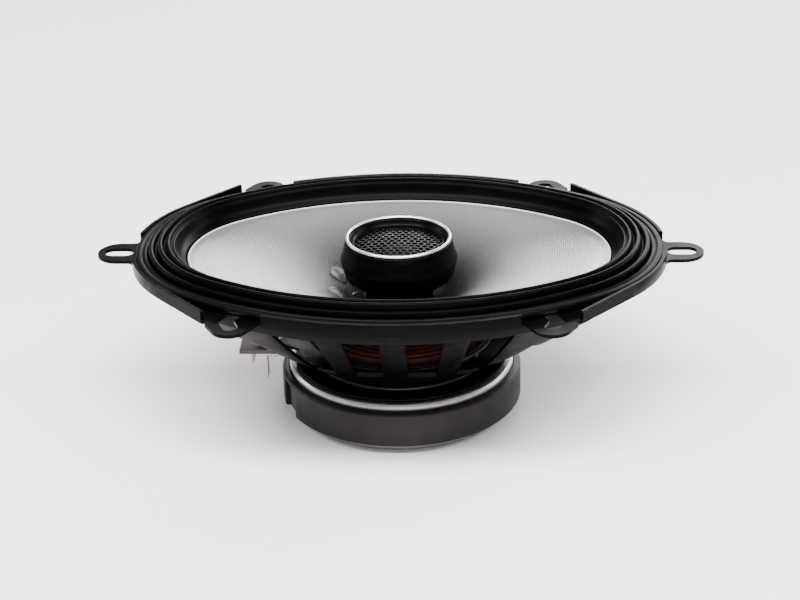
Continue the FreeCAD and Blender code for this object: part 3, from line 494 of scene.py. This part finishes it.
def tinned():
    """Tin-plated stamping: brushed up and down, duller where it has oxidised."""
    paint = Paint("tinned_brass", Metallic=1.0)
    drawn_out = paint.vector(paint.x, paint.y, paint.math("MULTIPLY", paint.z, 0.06))
    strokes = paint.noise(0.25, 4.0, drawn_out, 0.7)
    dull = paint.noise(2.4, 4.0)
    metal = paint.mix(paint.span(strokes, 0.3, 0.7), (0.20, 0.18, 0.15), (0.50, 0.47, 0.42))
    metal = paint.mix(paint.span(dull, 0.45, 0.75, 0.0, 0.6), metal, (0.20, 0.15, 0.10))
    return paint.wear(
        Base_Color=metal,
        Roughness=paint.span(dull, 0.3, 0.7, 0.24, 0.42),
        Normal=paint.bump(strokes, 0.004),
    )


SLOTS = {
    "black_steel": painted(
        "black_steel", (0.0006, 0.0005, 0.0006), (0.0020, 0.0017, 0.0019), 0.35, 0.36, 0.010,
        Specular_IOR_Level=0.035, Specular_Tint=WARM_BLACK,
    ),
    "gasket_rubber": rubber(
        "gasket_rubber", (0.0008, 0.0007, 0.0008), (0.0022, 0.0019, 0.0021), 0.42, gloss=0.06,
    ),
    "surround_rubber": rubber(
        "surround_rubber", (0.0003, 0.00025, 0.0003), (0.0009, 0.0008, 0.0009), 0.34, gloss=0.03,
    ),
    "cone_weave": cone_cloth(),
    "spider_cloth": spider_cloth(),
    "ring_board": speckled("ring_board", (0.004, 0.0037, 0.004), (0.014, 0.013, 0.013), 0.3, 0.7, 0.03),
    "zinc_steel": machined("zinc_steel", (0.16, 0.187, 0.19), (0.27, 0.31, 0.315), 0.36, metallic=0.6),
    "ferrite": speckled(
        "ferrite", (0.008, 0.008, 0.0085), (0.030, 0.030, 0.032), 0.22, 0.62, 0.03, Metallic=0.25,
    ),
    "boot_rubber": rubber(
        "boot_rubber", (0.0052, 0.0044, 0.0050), (0.0095, 0.0083, 0.0092), 0.44, 0.3, 0.012, gloss=0.16,
    ),
    "black_plastic": painted(
        "black_plastic", (0.0003, 0.00025, 0.0003), (0.0007, 0.0006, 0.0007), 0.5, 0.30, 0.003,
        Specular_IOR_Level=0.04, Specular_Tint=WARM_BLACK,
    ),
    "silver_trim": painted(
        "silver_trim", (0.80, 0.80, 0.81), (0.84, 0.84, 0.85), 2.0, 0.30, 0.0, Metallic=1.0,
    ),
    "black_screen": painted(
        "black_screen", (0.0008, 0.0007, 0.0008), (0.0028, 0.0025, 0.0028), 0.12, 0.42, 0.006,
        Specular_IOR_Level=0.09,
    ),
    "dome_film": film(),
    "former_paper": speckled("former_paper", (0.16, 0.085, 0.045), (0.30, 0.18, 0.10), 0.35, 0.6, 0.012),
    "copper_wire": winding(),
    "neodymium": machined("neodymium", (0.50, 0.49, 0.46), (0.72, 0.71, 0.68), 0.22, 0.3, 0.002),
    "fibre_board": speckled("fibre_board", (0.016, 0.007, 0.004), (0.045, 0.019, 0.010), 0.4, 0.5, 0.012),
    "tinned_brass": tinned(),
    "lead_braid": braid(),
    "grey_adhesive": speckled(
        "grey_adhesive", (0.040, 0.037, 0.040), (0.115, 0.109, 0.113), 1.8, 0.42, 0.04,
        Specular_IOR_Level=0.35,
    ),
    "capacitor_sleeve": painted(
        "capacitor_sleeve", (0.008, 0.014, 0.045), (0.014, 0.024, 0.07), 0.6, 0.3, 0.006,
    ),
    "foam": speckled("foam", (0.006, 0.006, 0.006), (0.025, 0.024, 0.025), 0.5, 0.9, 0.25),
}


def plate_steel():
    """Zinc on the top plate: bluish, and brown by height alone at the top of its edge and again where the
    boot begins.
    """
    paint = Paint("plate_steel", Metallic=0.75)
    marks = paint.noise(0.25, 5.0, paint.turned(), 0.7)
    stains = paint.noise(7, 4.0)
    height = paint.math("MULTIPLY_ADD", stains, 0.5 * MM, paint.z)
    bluish = paint.mix(paint.span(marks, 0.3, 0.7), (0.40, 0.45, 0.45), (0.62, 0.68, 0.68))
    brown = paint.mix(paint.span(marks, 0.3, 0.7), (0.13, 0.10, 0.09), (0.26, 0.21, 0.19))
    low = paint.span(height, 17.1 * MM, 17.6 * MM, 0.85, 0.0)
    high = paint.span(height, 18.05 * MM, 18.25 * MM, 0.0, 0.8)
    return paint.wear(
        Base_Color=paint.mix(high, paint.mix(low, bluish, brown), brown),
        Roughness=paint.span(stains, 0.3, 0.7, 0.30, 0.42),
        Normal=paint.bump(marks, 0.0006),
    )


def finish(piece, slot):
    """Gives a piece its material, and says which of the record's slots that is."""
    if piece.material_slots:
        for held in piece.material_slots:
            held.material = SLOTS[slot]
    else:
        piece.data.materials.append(SLOTS[slot])


def place(piece, slot, body, *nodes, material=None):
    """Finishes a new piece, mounts it on a body and lets it stand for CAD nodes."""
    finish(piece, slot)
    if material:
        piece.material_slots[0].material = material
    if "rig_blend" not in piece:
        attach(piece, body)
    if nodes:
        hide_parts(*nodes)


# ---------------------------------------------------------------- rigid parts from the CAD

ROUNDED = {  # edge rounding of each node, mm
    "basket": 0.28,
    "spider_ring": 0.3,
    "yoke": 0.5,
    "ferrite_magnet": 0.4,
    "seat_rivets": 0.25,
    "magnet_boot": 0.7,
    "post_screw": 0.3,
    "tweeter_barrel": 0.35,
    "tweeter_faceplate": 0.2,
    "tweeter_cup": 0.3,
    "tweeter_pole_plate": 0.15,
    "terminal_board": 0.15,
    "terminal_positive": 0.12,
    "terminal_negative": 0.12,
    "terminal_rivets": 0.15,
    "crossover_capacitor": 0.5,
}

for node, thing in frame["nodes"].items():
    finish(thing, thing.data.materials[0].name)
    if node in ROUNDED:
        weld = thing.modifiers.new("weld", "WELD")
        weld.merge_threshold = WELD_GAP * MM
        bevel = thing.modifiers.new("edges", "BEVEL")
        bevel.width = ROUNDED[node] * MM
        bevel.segments = BEVEL_SEGMENTS
        bevel.limit_method = "ANGLE"
        bevel.angle_limit = BEVEL_ANGLE
        bevel.harden_normals = True


# ---------------------------------------------------------------- top plate and the basket's foot


def top_plate():
    """A turned ring with a rounded foot and a bevelled top edge."""
    low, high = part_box("top_plate")
    outer, under, crest = high.x / MM, low.z / MM, high.z / MM
    profile = [
        (PLATE_BORE, under), (outer - 0.2, under), (outer - 0.05, under + 0.06), (outer, under + 0.2),
        (outer, crest - 1.0), (outer - 0.04, crest - 0.85), (outer - 0.75, crest - 0.1),
        (outer - 0.9, crest), (PLATE_BORE, crest),
    ]
    plate = ring("turned_top_plate", circle(), profile, crease=30)
    place(plate, "zinc_steel", "frame", "top_plate", material=plate_steel())


top_plate()

# painted highlight: the foot bead gets a paint far paler and glossier than the black steel round it, so a
# highlight arc shows on it in the shade under the flange
foot_bead_highlight_paint = painted(
    "foot_bead_painted_highlight", (0.012, 0.011, 0.012), (0.030, 0.028, 0.030), 0.5, 0.3, 0.004, Metallic=0.4,
)
foot_bead = ring("wall_foot_bead", circle(), bead_profile(*FOOT_BEAD, 16), crease=80)
place(foot_bead, "black_steel", "frame", material=foot_bead_highlight_paint)


# ---------------------------------------------------------------- surround, gasket and cone edge

surround_top = softened([
    (17.6, 58.8), (13.9, 58.8), (13.5, 59.6), (13.35, 62.4), (13.0, 62.95), (12.0, 63.0), (11.5, 62.5),
    (11.1, 61.2), (10.5, 61.2), (10.0, 63.9), (9.4, 64.45), (8.6, 64.45), (8.1, 63.2), (7.7, 62.3),
    (7.2, 63.5), (6.8, 64.45), (5.9, 64.45), (5.5, 63.5), (5.15, 63.0), (4.7, 63.5), (4.1, 63.3),
    (3.1, 60.9), (2.3, 59.6), (1.3, 58.75), (0.55, 58.1), (0.4, 56.8), (-0.2, 56.1), (-2.3, 55.5),
])
surround_profile = sheet_profile(surround_top, SURROUND_THICK)
surround = ring("rubber_surround", oval(*CONE_EDGE), surround_profile, crease=80)
surround_moves = movement(surround_profile, SURROUND_STILL, SURROUND_FLEX)
stretched(surround, "frame", "cone_unit", surround_moves * AROUND)
place(surround, "surround_rubber", None, "surround")

gasket_profile = softened([
    (13.75, 58.85), (13.75, 60.75), (14.1, 61.15), (14.9, 61.2), (15.25, 60.95), (15.5, 60.6),
    (15.75, 60.95), (16.1, 61.2), (17.3, 61.15), (17.75, 60.8), (17.85, 58.85),
], closed=True)
gasket = ring("rubber_gasket", oval(*CONE_EDGE), gasket_profile, crease=60)
place(gasket, "gasket_rubber", "frame", "front_gasket")

edge_bead = ring("cone_edge_bead", oval(*CONE_EDGE), bead_profile(*EDGE_BEAD, 12), crease=80)
edge_paint = painted("edge_bead", (0.42, 0.41, 0.42), (0.55, 0.54, 0.55), 0.4, 0.4, 0.004)
place(edge_bead, "grey_adhesive", "cone_unit", material=edge_paint)


# ---------------------------------------------------------------- spider

spider_top = [(32.5, 28.75), (31.3, 28.75)]
for step in range(ROLLS * ROLL_STEPS + 1):
    share = step / (ROLLS * ROLL_STEPS)
    swell = min(1, 6 * share, 6 * (1 - share))
    wave = 0.95 * swell * math.cos(2 * math.pi * ROLLS * share)
    spider_top.append((30.6 - 13.6 * share, 29.45 - wave))
spider_top += [(15.6, 29.3), (14.5, 29.6), (13.75, 30.5)]
spider_profile = sheet_profile(spider_top, SPIDER_THICK)
spider = ring("cloth_spider", circle(), spider_profile, crease=80)
spider_moves = movement(spider_profile, SPIDER_STILL, SPIDER_FLEX)
stretched(spider, "frame", "cone_unit", spider_moves * AROUND)
place(spider, "spider_cloth", None, "spider")


# ---------------------------------------------------------------- tweeter: perforated grille, dome surround


def grille():
    """A domed disc of hexagonal holes with a plain rim."""
    low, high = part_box("tweeter_grille")
    radius, bottom, top = high.x / MM, low.z / MM, high.z / MM
    corner = GRILLE_PITCH / math.sqrt(3)
    inner_corner = corner * (1 - 2 * GRILLE_WIRE / GRILLE_PITCH)
    turns = [math.radians(60 * side + 30) for side in range(6)]
    rim = radius - GRILLE_RIM
    reach = int(radius / GRILLE_PITCH) + 2
    shape = bmesh.new()
    for row in range(-reach, reach + 1):
        for column in range(-reach, reach + 1):
            x = GRILLE_PITCH * (column + row / 2)
            y = GRILLE_PITCH * row * math.sqrt(3) / 2
            if math.hypot(x, y) > rim - 0.35 * GRILLE_PITCH:
                continue
            outer, inner = (
                [shape.verts.new((x + away * math.cos(turn), y + away * math.sin(turn), 0)) for turn in turns]
                for away in (corner, inner_corner)
            )
            for side in range(6):
                after = (side + 1) % 6
                shape.faces.new((outer[side], outer[after], inner[after], inner[side]))
    bmesh.ops.remove_doubles(shape, verts=shape.verts, dist=0.05)
    turns = [2 * math.pi * step / GRILLE_STEPS for step in range(GRILLE_STEPS)]
    inner, outer = (
        [shape.verts.new((away * math.cos(turn), away * math.sin(turn), 0)) for turn in turns]
        for away in (rim - 0.9, radius - 0.3)
    )
    for step in range(GRILLE_STEPS):
        after = (step + 1) % GRILLE_STEPS
        shape.faces.new((inner[step], inner[after], outer[after], outer[step]))
    for vert in shape.verts:
        share = min(vert.co.xy.length / radius, 1)
        vert.co.z = bottom + GRILLE_SHEET + (top - bottom - GRILLE_SHEET) * (1 - share ** 2)
        vert.co *= MM
    mesh = bpy.data.meshes.new("hex_grille")
    shape.to_mesh(mesh)
    shape.free()
    piece = linked("hex_grille", mesh)
    solid = piece.modifiers.new("sheet", "SOLIDIFY")
    solid.thickness = GRILLE_SHEET * MM
    solid.offset = -1
    place(piece, "black_screen", "frame", "tweeter_grille")


def trim_ring():
    """The silver ring round the grille."""
    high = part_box("tweeter_bezel")[1]
    reach, height = high.x / MM + 0.1 - TRIM_THICK, high.z / MM - TRIM_THICK
    profile = bead_profile(reach, height, TRIM_THICK, TRIM_THICK, 24)
    place(ring("trim_ring", circle(TRIM_STEPS), profile, crease=80), "silver_trim", "frame", "tweeter_bezel")


grille()
trim_ring()

seat_profile = softened([
    (17.5, 63.0), (17.0, 63.1), (16.7, 62.4), (15.9, 61.3), (15.45, 61.15), (15.4, 60.9), (17.2, 60.9),
], closed=True)
place(ring("grille_seat", circle(TRIM_STEPS), seat_profile, crease=80), "black_plastic", "frame")

half_circle = [math.radians(turn) for turn in range(0, 181, 15)]
roll = [(10.1, 57.95), (9.4, 57.95)]
roll += [(8.3 + 0.95 * math.cos(turn), 57.95 + 0.6 * math.sin(turn)) for turn in half_circle]
roll += [(6.9, 57.9), (6.3, 57.9)]
roll_profile = sheet_profile(roll, ROLL_THICK)
dome_roll = ring("dome_roll", circle(DOME_STEPS), roll_profile, crease=70)
stretched(dome_roll, "frame", "dome_unit", movement(roll_profile, DOME_STILL, DOME_FLEX) * DOME_STEPS)
place(dome_roll, "surround_rubber", None, "tweeter_surround")


# ---------------------------------------------------------------- adhesive dabs

cone_mesh = frame["nodes"]["cone"].data
cone_tree = BVHTree.FromPolygons(
    [vert.co for vert in cone_mesh.vertices],
    [tuple(face.vertices) for face in cone_mesh.polygons],
)


def cone_front(x, y):
    """Height of the cone's front at a place, in mm."""
    hit = cone_tree.ray_cast(Vector((x * MM, y * MM, 0.1)), Vector((0, 0, -1)))[0]
    return hit.z / MM


def dab(name, node, spin, narrow, crown):
    """A blob of adhesive on the cone: round, or narrowed to three corners, the first at spin degrees."""
    centre, half = middle(node)
    centre.x -= DAB_OUT
    lowest = cone_front(centre.x, centre.y) - DAB_DROP
    points, faces = [], []
    for step in range(DAB_STEPS):
        turn = 2 * math.pi * step / DAB_STEPS
        edge = 0.95 + 0.05 * noise.noise(Vector((math.cos(turn), math.sin(turn), spin)) * 1.3)
        edge -= narrow * (1 - math.cos(3 * (turn - math.radians(spin))))
        for row in range(DAB_RINGS + 1):
            share = row / DAB_RINGS
            x = centre.x + DAB_SQUEEZE * half.x * edge * share * math.cos(turn)
            y = centre.y + half.y * edge * share * math.sin(turn)
            lumps = 1 + 0.3 * noise.noise(Vector((x, y, spin)) * 0.4)
            height = crown * math.sqrt(max(0, 1 - share ** 2.4)) * lumps
            points.append((x, y, max(cone_front(x, y), lowest) + height - DAB_SINK * share))
    across = DAB_RINGS + 1
    for step in range(DAB_STEPS):
        here, there = step * across, (step + 1) % DAB_STEPS * across
        for row in range(DAB_RINGS):
            faces.append((here + row, here + row + 1, there + row + 1, there + row))
    place(object_of(name, points, faces, crease=180), "grey_adhesive", "cone_unit", node)


dab("adhesive_upper", "lead_dab_upper", 100, 0.02, 1.9)
dab("adhesive_lower", "lead_dab_lower", 80, 0.15, 1.9)


# ---------------------------------------------------------------- leads


def smooth_line(points):
    """The points in mm of a smooth curve steered by these points."""
    curve = bpy.data.curves.new("line", "CURVE")
    curve.dimensions = "3D"
    curve.resolution_u = 24
    spline = curve.splines.new("NURBS")
    spline.points.add(len(points) - 1)
    for held, point in zip(spline.points, points):
        held.co = (*point, 1)
    spline.order_u = 3
    spline.use_endpoint_u = True
    holder = linked("line", curve)
    mesh = bpy.data.meshes.new_from_object(holder)
    line = [vert.co.copy() for vert in mesh.vertices]
    bpy.data.objects.remove(holder)
    bpy.data.meshes.remove(mesh)
    return line


def evenly(line, length, steps):
    """The same line with its points a step apart."""
    even, run, target = [line[0]], 0.0, length / steps
    for a, b in zip(line, line[1:]):
        span = (b - a).length
        while run + span >= target and span > 0:
            a = a.lerp(b, (target - run) / span)
            even.append(a)
            span = (b - a).length
            run = 0.0
        run += span
    return even


def braided(name, points, radius):
    """A round braid along a smooth line: two sets of strands cross as they wind round it."""
    line = smooth_line(points)
    length = sum((b - a).length for a, b in zip(line, line[1:]))
    steps = max(40, int(length / BRAID_STEP))
    even = evenly(line, length, steps)
    last = len(even) - 1
    ways = [(even[min(i + 1, last)] - even[max(i - 1, 0)]).normalized() for i in range(last + 1)]
    turns = [2 * math.pi * corner / BRAID_SIDES for corner in range(BRAID_SIDES)]
    side = ways[0].orthogonal().normalized()
    verts, faces = [], []
    for index, (point, way) in enumerate(zip(even, ways)):
        side = (side - way * side.dot(way)).normalized()
        other = way.cross(side)
        wind = BRAID_WIND * index * length / steps
        for turn in turns:
            strand = max(math.cos(BRAID_STRANDS * (turn + wind)), math.cos(BRAID_STRANDS * (turn - wind)))
            reach = radius * (0.88 + 0.12 * strand)
            verts.append(point + (side * math.cos(turn) + other * math.sin(turn)) * reach)
    for row in range(last):
        here, there = row * BRAID_SIDES, (row + 1) * BRAID_SIDES
        for corner in range(BRAID_SIDES):
            beside = (corner + 1) % BRAID_SIDES
            faces.append((here + corner, here + beside, there + beside, there + corner))
    faces.append(tuple(range(BRAID_SIDES))[::-1])
    faces.append(tuple(last * BRAID_SIDES + corner for corner in range(BRAID_SIDES)))
    piece = object_of(name, verts, faces, crease=70)
    moves = [eased(1 - index / last) for index in range(last + 1) for _ in turns]
    stretched(piece, "frame", "cone_unit", moves)
    return piece, even, length


def leads(sign, node):
    """One lead from its terminal to the cone, and the thin one from there to the tweeter's post."""
    low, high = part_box(node)
    end_x = low.x / MM + LEAD_RADIUS
    end_y = (low.y if sign > 0 else high.y) / MM + LEAD_RADIUS * sign
    route = [
        (-22.6, 8.0 * sign, 42.4), (-27.5, 9.2 * sign, 38.0), (-34.0, 12.0 * sign, 35.6),
        (-40.5, 14.0 * sign, 32.0), (-45.6, 13.2 * sign, 28.6), (end_x, end_y, low.z / MM + 0.7),
    ]
    name = node.replace("lead", "braid")
    piece, even, length = braided(name, route, LEAD_RADIUS)
    place(piece, "lead_braid", None, node)
    thin = [(-16.2, 6.2 * sign, 44.4), (-14.2, 5.5 * sign, 45.4), (-11.1, 4.2 * sign, 45.0)]
    place(braided(f"tweeter_{name}", thin, THIN_RADIUS)[0], "lead_braid", None, f"tweeter_{node}")


leads(1, "lead_positive")
leads(-1, "lead_negative")


# ---------------------------------------------------------------- foam pad under the capacitor


def foam_pad():
    """A soft block with rounded, slightly bulging sides."""
    centre, half = middle("capacitor_pad")
    shape = bmesh.new()
    bmesh.ops.create_cube(shape, size=2)
    bmesh.ops.subdivide_edges(shape, edges=shape.edges, cuts=14, use_grid_fill=True)
    for vert in shape.verts:
        corner = vert.co.copy()
        largest = max(abs(value) for value in corner)
        crown = 1 - 0.05 * (corner.x ** 2 + corner.y ** 2 + corner.z ** 2 - largest ** 2)
        rough = 0.012 * noise.noise(corner * 5)
        point = corner * (min(crown, 1) * 0.985 + rough)
        vert.co = Vector([point[axis] * half[axis] + centre[axis] for axis in range(3)]) * MM
    mesh = bpy.data.meshes.new("foam_pad")
    shape.to_mesh(mesh)
    shape.free()
    mesh.shade_smooth()
    mesh.set_sharp_from_angle(angle=math.radians(60))
    piece = linked("foam_pad", mesh)
    place(piece, "foam", "frame", "capacitor_pad")


foam_pad()


# ---------------------------------------------------------------- stage, light and camera


def stage_floor():
    """A plain pale sheet of paper."""
    bpy.ops.mesh.primitive_plane_add(size=8)
    floor = bpy.context.object
    floor.name = "floor"
    paint = Paint("floor_paper", Specular_IOR_Level=0.2)
    cloud = paint.noise(400, 2.0)
    floor.data.materials.append(paint.wear(
        Base_Color=paint.mix(cloud, (0.90, 0.90, 0.90), (0.93, 0.93, 0.93)),
        Roughness=paint.span(cloud, 0.3, 0.7, 0.55, 0.65),
    ))


def softbox(name, position, width, height, power):
    """A soft lamp of a width and height in metres, aimed at the speaker."""
    light = bpy.data.lights.new(name, "AREA")
    light.shape = "RECTANGLE"
    light.size, light.size_y = width, height
    light.energy = power
    lamp = linked(name, light)
    lamp.location = position
    lamp.rotation_euler = (Vector(LAMP_AIM) - Vector(position)).to_track_quat("-Z", "Y").to_euler()


def studio():
    """Even light from all round."""
    world = bpy.data.worlds.new("studio")
    bpy.context.scene.world = world
    world.use_nodes = True
    background = world.node_tree.nodes["Background"]
    background.inputs["Color"].default_value = (1, 1, 1, 1)
    background.inputs["Strength"].default_value = WORLD_STRENGTH


def set_camera():
    """Looks at the speaker from where the photograph was taken."""
    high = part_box("basket")[1]
    lugs = Vector((0, 0, high.z - LUG_DEPTH))
    back = Vector((
        math.sin(AZIMUTH) * math.cos(ELEVATION),
        -math.cos(AZIMUTH) * math.cos(ELEVATION),
        math.sin(ELEVATION),
    ))
    lens = bpy.data.cameras.new("camera")
    lens.lens = LENS
    lens.clip_start = 0.05
    camera = linked("camera", lens)
    camera.location = lugs + back * DISTANCE
    aim = lugs - Vector((0, 0, AIM_DROP)) - camera.location
    rolled = Matrix.Rotation(ROLL, 3, aim.normalized())
    camera.rotation_euler = (rolled @ aim.to_track_quat("-Z", "Y").to_matrix()).to_euler()
    bpy.context.scene.camera = camera


stage_floor()
softbox("overhead", (0.0, -0.5, 1.35), 2.3, 0.45, 98)
softbox("backdrop", (0.55, 1.6, 0.60), 1.8, 0.45, 34)
softbox("front", (0.2, -1.5, 0.3), 1.4, 0.5, 9)
softbox("left", (-1.4, 0.5, 0.6), 0.4, 0.6, 6)
softbox("right", (1.4, 0.5, 0.6), 0.4, 0.6, 6)
studio()
set_camera()
